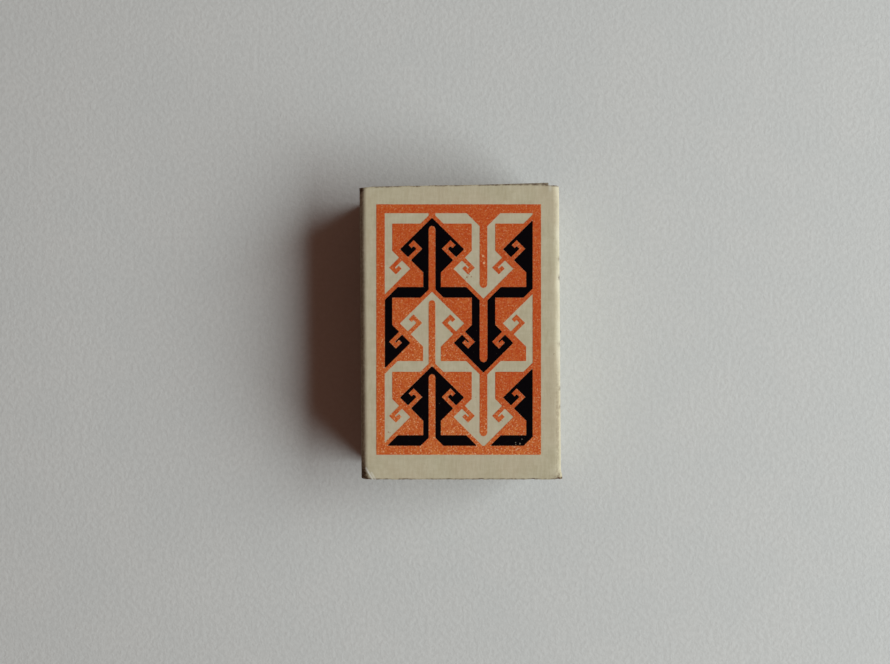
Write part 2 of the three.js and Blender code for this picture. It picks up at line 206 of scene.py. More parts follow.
def plus(tree, first, second):
    """Two numbers added."""
    return calculate(tree, "ADD", first, second)


def clamped(tree, value):
    """A number held between 0 and 1."""
    return result(tree, "ShaderNodeClamp", {0: value})


def vectors(tree, operation, first, second):
    """The output of one operation on a vector and a second vector, or a number to scale it by."""
    key = "Scale" if operation == "SCALE" else 1
    return result(tree, "ShaderNodeVectorMath", {0: first, key: second}, operation=operation)


# Materials. Each pattern reads Object coordinates, and every object sits at the origin


def new_material(name):
    """An empty material, its tree, and the Object coordinates that its patterns read."""
    material = bpy.data.materials.new(name)
    material.use_nodes = True
    tree = material.node_tree
    tree.nodes.clear()
    return material, tree, add(tree, "ShaderNodeTexCoord").outputs["Object"]


def blotches(tree, where, size_mm, low, high, detail=3, stretch=(1, 1, 1)):
    """A soft noise from 0 to 1, sharpened between low and high, its blotches about size_mm wide."""
    placed = result(tree, "ShaderNodeMapping", {"Vector": where, "Scale": stretch})
    cloud = result(
        tree,
        "ShaderNodeTexNoise",
        {"Vector": placed, "Scale": per_metre(size_mm), "Detail": detail, "Roughness": 0.6},
    )
    return result(
        tree,
        "ShaderNodeMapRange",
        {"Value": cloud, "From Min": low, "From Max": high},
        interpolation_type="SMOOTHSTEP",
    )


def blend(tree, share, base, over):
    """The colour over laid on the colour base by a share."""
    mix = add(
        tree,
        "ShaderNodeMix",
        {"Factor_Float": share, "A_Color": base, "B_Color": over},
        data_type="RGBA",
    )
    return socket(mix.outputs, "Result_Color")


def tint(tree, colour, pattern, strength, hex_colour):
    """Lays a second colour on a colour where a pattern shows, by at most the share strength."""
    return blend(tree, times(tree, pattern, strength), colour, linear(hex_colour))


def finish_surface(tree, colour, roughness, height, depth_mm, specular):
    """Joins colour, roughness and a relief of real depth to one plain shader."""
    relief = result(
        tree, "ShaderNodeBump", {"Height": height, "Distance": depth_mm * MM, "Strength": 1.0}
    )
    shader = result(
        tree,
        "ShaderNodeBsdfPrincipled",
        {
            "Base Color": colour,
            "Roughness": roughness,
            "Specular IOR Level": specular,
            "IOR": 1.45,
            "Normal": relief,
        },
    )
    add(tree, "ShaderNodeOutputMaterial", {"Surface": shader})


def attribute(tree, name):
    """A value that the object stores at its own points."""
    return add(tree, "ShaderNodeAttribute", attribute_name=name).outputs["Fac"]


def spot(tree, where, x, y, radius):
    """1 inside a small round spot on the top face, 0 around it."""
    centre = (x * MM, y * MM, SLEEVE_HEIGHT * MM)
    gap = add(tree, "ShaderNodeVectorMath", {0: where, 1: centre}, operation="DISTANCE").outputs["Value"]
    return calculate(tree, "LESS_THAN", gap, radius * MM)


def uncoated_boxboard():
    """Uncoated greyish-cream boxboard, rolled and calendered: matt and faintly mottled, its fibres
    showing along and across. Hands and pockets rub its corners and ends brown, its folds are darkened
    brown, a crease bares it pale, the upper right fold carries a painted highlight, and a little stray
    ink lies in its open fields."""
    material, tree, where = new_material("uncoated_boxboard")
    # real fibres are 0.02 mm wide and don't show, so they are drawn about ten times as coarse
    fibres = blotches(tree, where, size_mm=0.45, low=0.35, high=0.65, detail=4, stretch=(1, 0.22, 1))
    cross_fibres = blotches(tree, where, size_mm=0.4, low=0.35, high=0.65, detail=4, stretch=(0.2, 1, 0.2))
    mottle = blotches(tree, where, size_mm=2.2, low=0.3, high=0.7)
    cloud = blotches(tree, where, size_mm=9, low=0.35, high=0.65, detail=2)
    specks = blotches(tree, where, size_mm=0.5, low=0.71, high=0.76, detail=2)
    colour = blend(tree, mottle, linear("#a39980"), linear("#aca38b"))
    colour = tint(tree, colour, cloud, 0.5, "#a99a83")
    colour = tint(tree, colour, fibres, 0.2, "#bdb6a0")
    colour = tint(tree, colour, cross_fibres, 0.15, "#958a70")
    colour = tint(tree, colour, specks, 0.55, "#6f6049")
    rub = blotches(tree, where, size_mm=0.5, low=0.3, high=0.62, detail=4)
    # darkened brown by the stored share: rubs, flecks and dirt, and darker bands along the folds
    darkened = clamped(tree, times(tree, attribute(tree, "soiling"), plus(tree, rub, 0.45)))
    colour = blend(tree, darkened, colour, linear("#4b3726"))
    # paled by the stored share: bared creases, and a painted highlight on the upper right fold
    colour = blend(tree, attribute(tree, "bared"), colour, linear("#c9c6bc"))
    ink_grain = blotches(tree, where, size_mm=0.16, low=0.4, high=0.52, detail=2)
    for place_x, place_y, size in STRAY_INK:
        smear = times(tree, spot(tree, where, place_x, place_y, size), ink_grain)
        colour = tint(tree, colour, smear, 0.75, "#7d4a2b")
    height = plus(tree, fibres, cross_fibres)
    finish_surface(tree, colour, roughness=0.88, height=height, depth_mm=0.006, specular=0.2)
    return material


def board_core():
    """The same board where it is cut or unlined: grey-brown pulp, rough, open and unevenly dark."""
    material, tree, where = new_material("cut_board_core")
    pulp = blotches(tree, where, size_mm=0.3, low=0.3, high=0.7, detail=4)
    patches = blotches(tree, where, size_mm=1.6, low=0.4, high=0.6, detail=2)
    colour = blend(tree, pulp, linear("#6f624c"), linear("#8d816a"))
    colour = tint(tree, colour, patches, 0.35, "#4a3d30")
    finish_surface(tree, colour, roughness=0.95, height=pulp, depth_mm=0.02, specular=0.1)
    return material


def grey_tray_board():
    """Grey recycled tray board, unbleached and uncoated: flecked with darker and paler fibres, dusted
    brown at the end where the heads lie."""
    material, tree, where = new_material("grey_tray_board")
    fibres = blotches(tree, where, size_mm=0.5, low=0.35, high=0.65, detail=4, stretch=(0.25, 1, 1))
    flecks = blotches(tree, where, size_mm=0.6, low=0.66, high=0.72, detail=2)
    mottle = blotches(tree, where, size_mm=3, low=0.3, high=0.7)
    colour = blend(tree, mottle, linear("#9a907c"), linear("#a89f8b"))
    colour = tint(tree, colour, fibres, 0.35, "#b5ad9a")
    colour = tint(tree, colour, flecks, 0.5, "#655a49")
    dust = blotches(tree, where, size_mm=0.8, low=0.4, high=0.7, detail=4)
    dusted = clamped(tree, times(tree, attribute(tree, "soiling"), plus(tree, dust, 0.25)))
    colour = blend(tree, dusted, colour, linear("#5c4434"))
    finish_surface(tree, colour, roughness=0.92, height=fibres, depth_mm=0.008, specular=0.15)
    return material


def phosphorus_coat():
    """Striking coat of red phosphorus and ground glass in glue, rolled on: dull dark brown, gritty,
    scored along the box where matches have been struck."""
    material, tree, where = new_material("phosphorus_striking_coat")
    # the grit is 0.05 mm and is drawn four times as coarse
    grit = blotches(tree, where, size_mm=0.2, low=0.35, high=0.7, detail=3)
    streaks = blotches(tree, where, size_mm=0.7, low=0.55, high=0.7, detail=4, stretch=(1, 0.05, 1))
    cloud = blotches(tree, where, size_mm=4, low=0.35, high=0.65, detail=3)
    colour = blend(tree, cloud, linear("#4a372b"), linear("#5c4636"))
    colour = tint(tree, colour, grit, 0.45, "#32241c")
    colour = tint(tree, colour, streaks, 0.28, "#75604c")
    colour = blend(tree, attribute(tree, "bared"), colour, linear("#9c8f76"))
    finish_surface(tree, colour, roughness=0.85, height=grit, depth_mm=0.03, specular=0.25)
    return material


def letterpress_ink(name, dense, thin, bare_share, bare_colour, pinholes, roughness, gloss):
    """Ink from a cheap relief plate on rough board: it lies thin and grainy, and misses the hollows of
    the board, which show as pale specks 0.15 to 0.3 mm wide, more of them where the box is rubbed."""
    material, tree, where = new_material(name)
    grain = blotches(tree, where, size_mm=0.3, low=0.36, high=0.66, detail=3)
    cloud = blotches(tree, where, size_mm=5, low=0.35, high=0.65, detail=3)
    worn = attribute(tree, "bared")
    thinned = clamped(tree, times(tree, grain, plus(tree, worn, 0.5)))
    colour = blend(tree, thinned, linear(dense), linear(thin))
    colour = tint(tree, colour, cloud, 0.3, dense)
    colour = tint(tree, colour, worn, 0.25, thin)
    holes = blotches(tree, where, size_mm=0.27, low=bare_share, high=bare_share + 0.07, detail=2)
    rubbed = times(tree, holes, plus(tree, worn, 0.35))
    for place_x, place_y, size in pinholes:
        pinhole = spot(tree, where, place_x, place_y, size)
        rubbed = plus(tree, rubbed, times(tree, pinhole, 0.8))
    rubbed = clamped(tree, rubbed)
    colour = blend(tree, rubbed, colour, linear(bare_colour))
    finish_surface(tree, colour, roughness=roughness, height=grain, depth_mm=0.006, specular=gloss)
    return material


def aspen_splint():
    """Aspen, rotary-cut into veneer and chopped to square splints, waxed: pale straw with long fine
    grain and a few darker pores, each splint a shade of its own."""
    material, tree, where = new_material("waxed_aspen_splint")
    grain = blotches(tree, where, size_mm=0.5, low=0.3, high=0.7, detail=5, stretch=(1, 0.04, 1))
    pores = blotches(tree, where, size_mm=0.35, low=0.62, high=0.72, detail=3, stretch=(1, 0.06, 1))
    colour = blend(tree, attribute(tree, "shade"), linear("#cfb182"), linear("#dcc49a"))
    colour = tint(tree, colour, grain, 0.45, "#bd9a68")
    colour = tint(tree, colour, pores, 0.4, "#97754a")
    finish_surface(tree, colour, roughness=0.62, height=grain, depth_mm=0.02, specular=0.3)
    return material


def match_head():
    """Dipped chlorate head, dried from a wet drop: dull dark brown with a finely pitted skin and pale
    glass filler in it."""
    material, tree, where = new_material("dipped_match_head")
    skin = blotches(tree, where, size_mm=0.3, low=0.3, high=0.7, detail=4)
    filler = blotches(tree, where, size_mm=0.25, low=0.66, high=0.74, detail=2)
    colour = blend(tree, skin, linear("#4b2419"), linear("#63342a"))
    colour = tint(tree, colour, filler, 0.4, "#94705f")
    finish_surface(tree, colour, roughness=0.7, height=skin, depth_mm=0.03, specular=0.35)
    return material


def drawing_paper():
    """Uncoated drawing paper under the box: plain pale grey, faintly uneven, with a fine soft tooth."""
    material, tree, where = new_material("drawing_paper")
    tooth = blotches(tree, where, size_mm=0.9, low=0.3, high=0.7, detail=4)
    cloud = blotches(tree, where, size_mm=14, low=0.3, high=0.7, detail=2)
    colour = blend(tree, tooth, linear("#b3b2b0"), linear("#b9b8b6"))
    colour = tint(tree, colour, cloud, 0.3, "#b0b1b0")
    finish_surface(tree, colour, roughness=0.95, height=tooth, depth_mm=0.025, specular=0.1)
    return material


# Shapes are worked out in millimetres, as rows of points


def arc(centre, radius, start, stop, steps):
    """Points on an arc, its angles in degrees."""
    angles = np.radians(np.linspace(start, stop, steps + 1))
    return np.stack([centre[0] + radius * np.cos(angles), centre[1] + radius * np.sin(angles)], 1)


def path_of(*runs):
    """One path through several runs of points, without the doubles where they meet."""
    points = np.concatenate([np.atleast_2d(run) for run in runs])
    keep = np.append(True, np.linalg.norm(np.diff(points, axis=0), axis=1) > TOUCH)
    return points[keep]


def lengths_along(path):
    """How far along a path each of its points lies."""
    return np.append(0, np.cumsum(np.linalg.norm(np.diff(path, axis=0), axis=1)))


def at_lengths(path, lengths):
    """The points of a path at given lengths along it, and the outward directions there."""
    along = lengths_along(path)
    reach = 0.02
    points, ahead, behind = (
        np.stack([np.interp(lengths + shift, along, path[:, i]) for i in (0, 1)], 1)
        for shift in (0, reach, -reach)
    )
    run = ahead - behind
    run /= np.linalg.norm(run, axis=1)[:, None]
    return points, np.stack([-run[:, 1], run[:, 0]], 1)


def spread(path, step, arc_step):
    """Lengths along a path, a step apart on its straight runs and arc_step apart round its folds."""
    along = lengths_along(path)
    lengths = []
    for start, stop in zip(along[:-1], along[1:]):
        gap = stop - start
        count = max(1, round(gap / step)) if gap > arc_step else 1
        lengths.extend(start + gap * np.arange(count) / count)
    return np.array([*lengths, along[-1]])


def smooth_step(low, high, value):
    """0 below low, 1 above high, and smooth between them."""
    t = np.clip((value - low) / (high - low), 0, 1)
    return t * t * (3 - 2 * t)


def near(edge, value, start, stop=0):
    """0 to 1 as a value comes from start millimetres short of an edge to stop millimetres short."""
    return smooth_step(edge - start, edge - stop, value)


def line_at(distance, width):
    """1 on a line, fading over a width to its sides."""
    return np.exp(-((distance / width) ** 2))


def patch_at(x, y, place, size):
    """1 at a place on the top, fading over a size across and along the box."""
    return np.exp(-(((x - place[0]) / size[0]) ** 2) - (((y - place[1]) / size[1]) ** 2))


def waves(points, size, seed):
    """A smooth fixed noise from about -1 to 1 at each point, its waves about size mm long."""
    shift = Vector((seed * 17.3, seed * 5.1, seed * 9.7))
    return np.array([noise.noise(Vector(p) / size + shift) for p in points.tolist()])


def patch_faces(rows, columns, start, flip=False):
    """The quads of a grid of points, rows by columns, whose first point has the number start."""
    faces = []
    for i in range(rows - 1):
        for j in range(columns - 1):
            a = start + i * columns + j
            quad = (a, a + columns, a + columns + 1, a + 1)
            faces.append(quad[::-1] if flip else quad)
    return faces


def sheet_object(name, points, faces, materials, values=None):
    """A mesh object from points in millimetres, with its own values stored at its points."""
    mesh = bpy.data.meshes.new(name)
    mesh.from_pydata((points * MM).tolist(), [], faces)
    for key, numbers in (values or {}).items():
        store(mesh, key, numbers)
    for material in materials:
        mesh.materials.append(material)
    return object_of(mesh)


def store(mesh, key, numbers):
    """Stores one number at each point of a mesh."""
    layer = mesh.attributes.new(key, "FLOAT", "POINT")
    layer.data.foreach_set("value", np.asarray(numbers, np.float32))


def points_of(mesh):
    """The points of a mesh, in millimetres."""
    return np.array([v.co for v in mesh.vertices]).reshape(-1, 3) / MM


def object_of(data):
    """An object in the scene with the name of its data."""
    piece = bpy.data.objects.new(data.name, data)
    bpy.context.scene.collection.objects.link(piece)
    return piece


def settle_mesh(piece):
    """Applies a piece's modifiers, so that it keeps a plain mesh, smooth apart from its sharp edges."""
    bpy.context.view_layer.update()
    graph = bpy.context.evaluated_depsgraph_get()
    mesh = bpy.data.meshes.new_from_object(piece.evaluated_get(graph), depsgraph=graph)
    piece.modifiers.clear()
    old = piece.data
    piece.data = mesh
    bpy.data.meshes.remove(old)
    mesh.name = piece.name
    mesh.shade_smooth()
    mesh.set_sharp_from_angle(angle=math.radians(SHARP_ANGLE))
    return piece


def give_thickness(piece, thickness, back=0, rim=0):
    """Thickens a skin inwards. The back and the cut rim may take other materials of the piece."""
    wall = piece.modifiers.new("wall", "SOLIDIFY")
    wall.thickness = thickness * MM
    wall.offset = -1
    wall.use_even_offset = True
    wall.material_offset = back
    wall.material_offset_rim = rim
    return piece


# Sleeve


def sleeve_path():
    """The strip's outer skin across the box: from the glue flap's edge down inside the right side,
    under, up the left, over, and down the right side to the lap edge."""
    half = SLEEVE_WIDTH / 2
    flap = half - SLEEVE_CARD
    upper = SLEEVE_HEIGHT - SLEEVE_FOLD
    steps = 12
    return path_of(
        [flap - GLUE_LINE, GLUE_FLAP_LEVEL],
        arc((flap - GLUE_LINE - SLEEVE_FOLD, SLEEVE_FOLD), SLEEVE_FOLD, 0, -90, steps),
        arc((SLEEVE_FOLD - half, SLEEVE_FOLD), SLEEVE_FOLD, 270, 180, steps),
        arc((SLEEVE_FOLD - half, upper), SLEEVE_FOLD, 180, 90, steps),
        arc((half - SLEEVE_FOLD, upper), SLEEVE_FOLD, 90, 0, steps),
        [half, LAP_EDGE_LEVEL],
    )


def from_crease(points):
    """Distance past the crease towards the corner, and distance along the crease."""
    start, stop = CREASE
    run = (stop - start) / np.linalg.norm(stop - start)
    away = points[:, :2] - start
    return away @ np.array([run[1], -run[0]]), away @ run


def settle_sleeve(points):
    """Wear and handling: the box leans a little, its sides bow, its ends are cut unevenly, and its
    corners are crushed and bent."""
    x, y, z = points.T.copy()
    half = SLEEVE_WIDTH / 2
    half_length = SLEEVE_LENGTH / 2
    on_top = near(SLEEVE_HEIGHT, z, 2, 0.6)
    y = y + on_top * near(half_length, y, 3) * np.interp(x, TOP_END_X, TOP_END_Y)
    for place, width, depth in NICKS:
        y = y + on_top * (y < -half_length + 0.3) * depth * line_at(x - place, width / 2)
    ragged = waves(points, 0.9, seed=1) + 0.6 * waves(points, 0.4, seed=2)
    y = y + RAGGED_CUT * ragged * near(half_length, np.abs(y), 0.5)
    level = (z - SLEEVE_FOLD) / (SLEEVE_HEIGHT - 2 * SLEEVE_FOLD)
    bow = SIDE_BOW * np.sin(np.pi * np.clip(level, 0, 1)) * np.cos(np.pi * y / SLEEVE_LENGTH * 0.8)
    beside = near(half, np.abs(x), 2, 1)
    x = x + np.sign(x) * beside * bow
    # corners, where a fold meets a cut end, are crushed inwards
    off_middle = np.abs(z - SLEEVE_HEIGHT / 2) / (SLEEVE_HEIGHT / 2)
    corner = near(half, np.abs(x), 1.6) * smooth_step(0.75, 1, off_middle)
    corner = corner * near(half_length, np.abs(y), 1.2)
    square = np.where((y < 0) & (z > SLEEVE_HEIGHT / 2), SQUARE_CORNER_SHARE, 1)
    crush = CORNER_CRUSH * corner * square * (1 + 0.7 * waves(points, 2.5, seed=3))
    x = x - np.sign(x) * crush
    z = z + np.where(z > SLEEVE_HEIGHT / 2, -crush, 0)
    # the lower right corner flares and the upper left one sticks out a little; the lower left one is
    # bent down past its crease
    x = x + FLARE * near(half_length, -y, 1.8) * smooth_step(16, 17.2, x) * on_top
    x = x - STICK_OUT * near(half_length, y, 0.9) * smooth_step(16.3, 17.2, -x) * on_top
    beyond, _ = from_crease(points)
    z = z - BEND * (np.clip(beyond, 0, 3) * on_top)
    # the board is uneven, but stays flat where it rests and where it is printed
    printed = 1 - near(half, np.abs(x), 3.2, 2.6)
    printed = printed * (np.abs(y) < half_length - 2.6) * (z > SLEEVE_HEIGHT - 0.1)
    free = (1 - printed) * smooth_step(0.05, 0.8, z)
    z = z + TOP_WAVE * free * on_top * (waves(points, 3, seed=4) - 0.5)
    x = x + SIDE_WAVE * free * beside * waves(points, 3, seed=5)
    x = x - LEAN * y / half_length
    return np.stack([x, y, z], 1)


def end_spacing(half, step, fine, reach):
    """Places along the box, closer together near its ends."""
    middle = np.linspace(-half + reach, half - reach, round(2 * (half - reach) / step) + 1)
    ends = half - reach * (1 - np.linspace(0, 1, round(reach / fine) + 1)[1:])
    return np.concatenate([-ends[::-1], middle, ends])


def swept(path, lengths, places):
    """A grid of points: across the box along a path, and along the box at the places."""
    across, _ = at_lengths(path, lengths)
    x, z = np.repeat(across, len(places), axis=0).T
    return np.stack([x, np.tile(places, len(lengths)), z], 1)


def fold_sleeve(materials):
    """The sleeve: one strip of card, its inside and its cut edges bare pulp."""
    path = sleeve_path()
    lengths = spread(path, step=0.42, arc_step=0.4)
    # finer rows from the upper left fold on, where the corner is creased
    side_top = coat_lengths()[1]
    creased = np.arange(side_top + 1.2, side_top + 5.2, 0.15)
    lengths = np.unique(np.concatenate([lengths, creased]))
    places = end_spacing(SLEEVE_LENGTH / 2, step=0.65, fine=0.15, reach=2.25)
    flat = swept(path, lengths, places)
    faces = patch_faces(len(lengths), len(places), 0)
    piece = sheet_object("sleeve_folded_card", settle_sleeve(flat), faces, materials, sleeve_wear(flat))
    give_thickness(piece, SLEEVE_CARD, back=1, rim=1)
    return settle_mesh(piece)


def sleeve_wear(points):
    """Where the card is darkened brown, and where it is paled: bared along creases, with a painted
    highlight along the upper right fold.
    """
    x, y, z = points.T
    half = SLEEVE_WIDTH / 2
    half_length = SLEEVE_LENGTH / 2
    top = near(SLEEVE_HEIGHT, z, 2.2, 1)
    # the left fold is darkened brown
    left_fold = 1 - smooth_step(0.5, 1.2, x + half)
    low_left = patch_at(x, y, *LOW_LEFT_RUB)
    low_right = patch_at(x, y, *LOW_RIGHT_RUB) * (0.35 + 1.1 * waves(points, 0.45, seed=14))
    low_right = low_right + (x > 16.9) * (y < -25.1)
    top_left = patch_at(x, y, *TOP_LEFT_RUB)
    flecks = sum(dark * patch_at(x, y, (FLECK_LINE, place), FLECK_SIZE) for place, dark in FLECKS)
    soiling = top * (0.4 * left_fold + 0.9 * low_left + 0.9 * low_right + 1.2 * top_left + 0.8 * flecks)
    grime = 0.66 + 0.9 * waves(points, 1.1, seed=6) + 0.8 * waves(points, 0.4, seed=9)
    soiling += near(half_length, np.abs(y), 0.24, 0.04) * np.clip(grime, 0, 1)
    soiling += 0.25 * (1 - smooth_step(0.2, 1.6, z))
    # the right fold is painted pale along its upper part, a painted highlight, and has a darkened strip
    # beside it lower down
    upper_share = smooth_step(-12, -3, y) + 0.6 * (waves(points, 2.4, seed=15) - 0.5)
    right_fold_highlight = top * near(half, x, 1.1, 0.5) * 0.22 * np.clip(upper_share, 0, 1)
    strip = near(half, x, 1.25, 0.8) * (1 - near(half, x, 0.55, 0.25))
    soiling += 0.26 * top * strip * np.clip(1 - upper_share, 0, 1)
    beyond, along = from_crease(points)
    creases = line_at(beyond, 0.13) * (along > -0.3) * (z > SLEEVE_HEIGHT - 0.4)
    creases += 0.7 * line_at(beyond + 0.42, 0.1) * (along > 0.9) * top
    top_right = line_at(x - 15.9, 0.16) * smooth_step(24, 25, y) * top * 0.6
    # pale marks: bared creases, a pale line at the upper right corner, and the painted highlight on the
    # right fold
    bared = np.clip(creases + right_fold_highlight + top_right, 0, 1)
    return {"soiling": np.clip(soiling, 0, 1), "bared": bared}


def roll_on_coat(name, low, high, material):
    """A striking coat between two lengths along the sleeve's path, its long edges wandering."""
    places = end_spacing(SLEEVE_LENGTH / 2, step=0.4, fine=0.2, reach=0.8)
    edges = []
    for level, seed in ((low, 7), (high, 8)):
        line = np.stack([np.full(len(places), level), places, np.zeros(len(places))], 1)
        wander = waves(line, 2.6, seed) + 0.7 * waves(line, 0.6, seed + 2)
        edges.append(level + COAT_EDGE_WANDER * wander)
    share = np.linspace(0, 1, COAT_ROWS)[:, None]
    lengths = edges[0][None] * (1 - share) + edges[1][None] * share
    across, outward = at_lengths(sleeve_path(), lengths.ravel())
    across = across + (COAT + COAT_BED) * outward
    flat = np.stack([across[:, 0], np.tile(places, COAT_ROWS), across[:, 1]], 1)
    points = settle_sleeve(flat)
    points[:, 0] += np.sign(points[:, 0]) * COAT_GRIT * waves(flat, 0.45, seed=11)
    struck = np.clip(waves(flat * np.array([1, 0.12, 1]), 0.8, seed=12) * 1.6 - 0.55, 0, 1)
    to_edge = np.minimum(share, 1 - share) * (COAT_ROWS - 1)
    edge_wear = np.repeat(np.exp(-to_edge[:, 0] / 1.2), len(places))
    bared = np.clip(0.3 * struck + 0.4 * edge_wear * (0.5 + waves(flat, 0.9, seed=13)), 0, 1)
    faces = patch_faces(COAT_ROWS, len(places), 0)
    piece = sheet_object(name, points, faces, [material], {"bared": bared})
    return settle_mesh(give_thickness(piece, COAT))


def coat_lengths():
    """Where the coat starts and stops along the sleeve's path: up the flat of the left side."""
    fold = SLEEVE_FOLD * math.pi / 2
    side = SLEEVE_HEIGHT - 2 * SLEEVE_FOLD
    flap = GLUE_FLAP_LEVEL - SLEEVE_FOLD
    under = SLEEVE_WIDTH - SLEEVE_CARD - GLUE_LINE - 2 * SLEEVE_FOLD
    start = flap + fold + under + fold
    return start + COAT_MARGIN, start + side - COAT_MARGIN


# Tray


def tray_paths():
    """Outer skins of the folded blank, measured from the tray's own middle: across the box, round an
    end, and along a corner tab as seen from above. Also how far the sides run towards an end."""
    side = TRAY_WIDTH / 2
    end = TRAY_LENGTH / 2
    low = TRAY_BOTTOM + TRAY_FOLD
    rim = TRAY_END / 2
    tab_face = end - TRAY_CARD - TRAY_LAYER_GAP
    corner = tab_face - TRAY_FOLD
    steps = 8
    across = path_of(
        [side, TRAY_RIM],
        [side, TRAY_TAB_TOP],
        arc((side - TRAY_FOLD, low), TRAY_FOLD, 0, -90, steps),
        arc((TRAY_FOLD - side, low), TRAY_FOLD, 270, 180, steps),
        [-side, TRAY_TAB_TOP],
        [-side, TRAY_RIM],
    )
    over_end = path_of(
        [corner, TRAY_BOTTOM],
        arc((end - TRAY_FOLD, low), TRAY_FOLD, 270, 360, steps),
        arc((end - rim, TRAY_RIM - rim), rim, 0, 180, 12),
        [end - TRAY_END, TRAY_FLAP_EDGE],
    )
    tab = path_of(
        [side, corner],
        arc((side - TRAY_FOLD, corner), TRAY_FOLD, 0, 90, steps),
        [side - TRAY_TAB, tab_face],
    )
    return across, over_end, tab, corner


def fold_tray(material):
    """One blank: floor and sides, two ends that fold over the corner tabs, and the four tabs."""
    across, over_end, tab, corner = tray_paths()
    lengths = spread(across, step=0.75, arc_step=0.3)
    skin, _ = at_lengths(across, lengths)
    end_skin, _ = at_lengths(over_end, spread(over_end, step=0.8, arc_step=0.3))
    tab_skin, _ = at_lengths(tab, spread(tab, step=0.8, arc_step=0.3))
    places = np.linspace(-corner, corner, 61)
    points, faces = [], []

    def lay(grid, rows, columns, flip=False):
        """Adds a patch of the blank."""
        faces.extend(patch_faces(rows, columns, sum(len(p) for p in points), flip))
        points.append(grid)

    lay(swept(across, lengths, places), len(lengths), len(places))
    on_floor = np.abs(skin[:, 0]) <= TRAY_WIDTH / 2 - TRAY_FOLD + TOUCH
    floor_x = skin[on_floor & (skin[:, 1] < TRAY_BOTTOM + TOUCH), 0]
    above_fold = skin[:, 1] >= TRAY_BOTTOM + TRAY_FOLD - TOUCH
    for lengthways in (1, -1):
        x = np.repeat(floor_x, len(end_skin))
        y = np.tile(end_skin[:, 0], len(floor_x)) * lengthways
        z = np.tile(end_skin[:, 1], len(floor_x))
        lay(np.stack([x, y, z], 1), len(floor_x), len(end_skin), lengthways < 0)
        for sideways in (1, -1):
            on_side = np.abs(skin[:, 0] - sideways * TRAY_WIDTH / 2) < TOUCH
            wall = skin[on_side & above_fold & (skin[:, 1] <= TRAY_TAB_TOP + TOUCH), 1]
            x = np.tile(tab_skin[:, 0], len(wall)) * sideways
            y = np.tile(tab_skin[:, 1], len(wall)) * lengthways
            z = np.repeat(wall, len(tab_skin))
            lay(np.stack([x, y, z], 1), len(wall), len(tab_skin), lengthways < 0)
    flat = np.concatenate(points)
    piece = sheet_object("tray_folded_card", settle_tray(flat), faces, [material], tray_wear(flat))
    weld(piece.data, 0.002)
    return settle_mesh(give_thickness(piece, TRAY_CARD))


def weld(mesh, distance, *sources):
    """Merges the points of a mesh, or of its sources, that lie closer than a distance."""
    shell = bmesh.new()
    for source in sources or (mesh,):
        shell.from_mesh(source)
    bmesh.ops.remove_doubles(shell, verts=shell.verts, dist=distance * MM)
    shell.to_mesh(mesh)
    shell.free()


def settle_tray(points):
    """The tray in its place, its walls a little wavy and its upper end bulged askew to the right."""
    x, y, z = points.T.copy()
    end = TRAY_LENGTH / 2
    raised = smooth_step(TRAY_BOTTOM + 1, TRAY_RIM - 2, z)
    outer = np.clip((y - (end - TRAY_END)) / TRAY_END, 0, 1)
    outer = np.where(np.abs(x) <= TRAY_WIDTH / 2 - TRAY_FOLD + TOUCH, outer, 0)
    end_wall = (y > end - TRAY_CARD - TRAY_LAYER_GAP + 0.01) | (z > TRAY_RIM - TRAY_END)
    outer = np.where(end_wall, outer, 0)
    y = y + outer * raised * np.interp(x, TRAY_BULGE_X, TRAY_BULGE_Y)
    wall = smooth_step(TRAY_BOTTOM + 0.9, TRAY_BOTTOM + 3, z)
    x = x + TRAY_WALL_WAVE * wall * waves(points, 9, seed=21) * (np.abs(x) > TRAY_WIDTH / 2 - 0.1)
    return np.stack([x + TRAY_MIDDLE, y + TRAY_PUSH, z], 1)


def tray_wear(points):
    """Dust from the heads inside the upper end, and grime along the rim and high on the outer ends."""
    _, y, z = points.T
    end = TRAY_LENGTH / 2
    heads = (y < end - TRAY_FOLD) * smooth_step(8, 24, y) * (1 - smooth_step(3, 9, z)) * 0.5
    rim = near(TRAY_RIM, z, 1.2, 0.1) * 0.35
    outer_end = near(end, np.abs(y), 0.6) * smooth_step(9, 12.5, z) * 0.3
    return {"soiling": np.clip(heads + rim + outer_end, 0, 1)}


# Geometry node trees: what repeats or follows an outline


def new_tree(name, inputs):
    """An empty tree with a geometry going through it, and the outputs that give its named inputs."""
    tree = bpy.data.node_groups.new(name, "GeometryNodeTree")
    tree.interface.new_socket("Geometry", in_out="INPUT", socket_type="NodeSocketGeometry")
    tree.interface.new_socket("Geometry", in_out="OUTPUT", socket_type="NodeSocketGeometry")
    for label, kind in inputs.items():
        tree.interface.new_socket(label, in_out="INPUT", socket_type=kind)
    return tree, tree.nodes.new("NodeGroupInput").outputs


def grow(piece, tree, values):
    """Runs a tree on a piece and keeps the result as its plain mesh."""
    modifier = piece.modifiers.new(tree.name, "NODES")
    modifier.node_group = tree
    for item in tree.interface.items_tree:
        if item.in_out == "INPUT" and item.name in values:
            modifier[item.identifier] = values[item.name]
    return settle_mesh(piece)


def roughen(tree, geometry, size, reach):
    """Moves each point of a geometry by a noise, its lumps of a size, as far as about half a reach."""
    here = result(tree, "GeometryNodeInputPosition")
    cloud = add(
        tree,
        "ShaderNodeTexNoise",
        {"Vector": here, "Scale": calculate(tree, "DIVIDE", 1.0, size), "Detail": 2.0},
    )
    centred = vectors(tree, "SUBTRACT", cloud.outputs["Color"], (0.5, 0.5, 0.5))
    offset = vectors(tree, "SCALE", centred, reach)
    return result(tree, "GeometryNodeSetPosition", {"Geometry": geometry, "Offset": offset})


